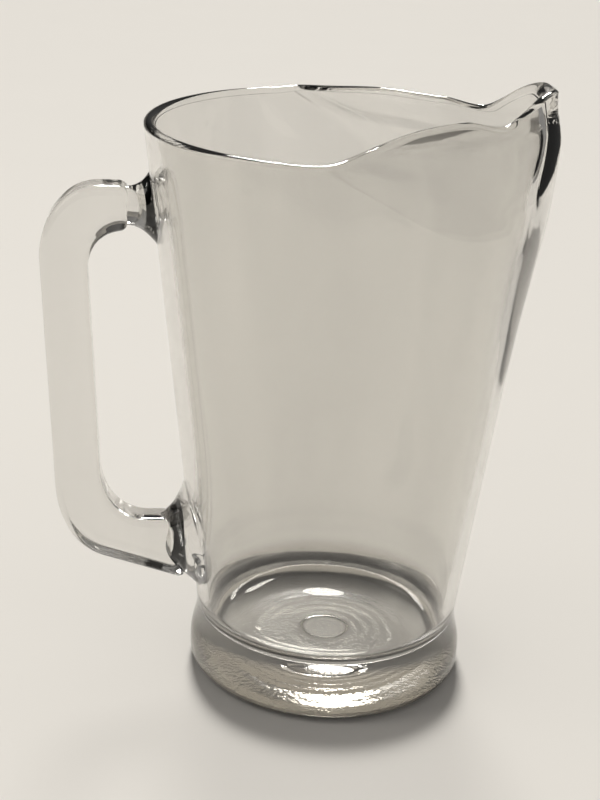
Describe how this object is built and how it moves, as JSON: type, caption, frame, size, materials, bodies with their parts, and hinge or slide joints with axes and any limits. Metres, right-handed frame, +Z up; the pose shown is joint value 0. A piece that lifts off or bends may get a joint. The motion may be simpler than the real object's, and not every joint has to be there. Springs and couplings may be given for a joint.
{
  "type": "water jug",
  "caption": "Clear pressed-glass water jug: tapered vessel with a pinched pouring spout and thick foot, and a flat-sided bar handle fused on through flared pads.",
  "frame": {"origin": "on the vessel's axis, at the underside of its foot", "axes": "+Z up along the vessel's axis, +X towards the spout, the handle at -X, and +Y across the flat sides of the handle"},
  "size_m": [0.1723, 0.1348, 0.214],
  "materials": {
    "vessel_glass": "clear soda-lime glass, fire-polished, with the faint waves of pressed glass",
    "handle_glass": "clear soda-lime glass, fire-polished, thick and slightly wavy"
  },
  "bodies": {
    "root": {"vessel": "vessel_glass", "handle": "handle_glass", "upper_handle_pad": "handle_glass", "lower_handle_pad": "handle_glass"}
  },
  "joints": []
}
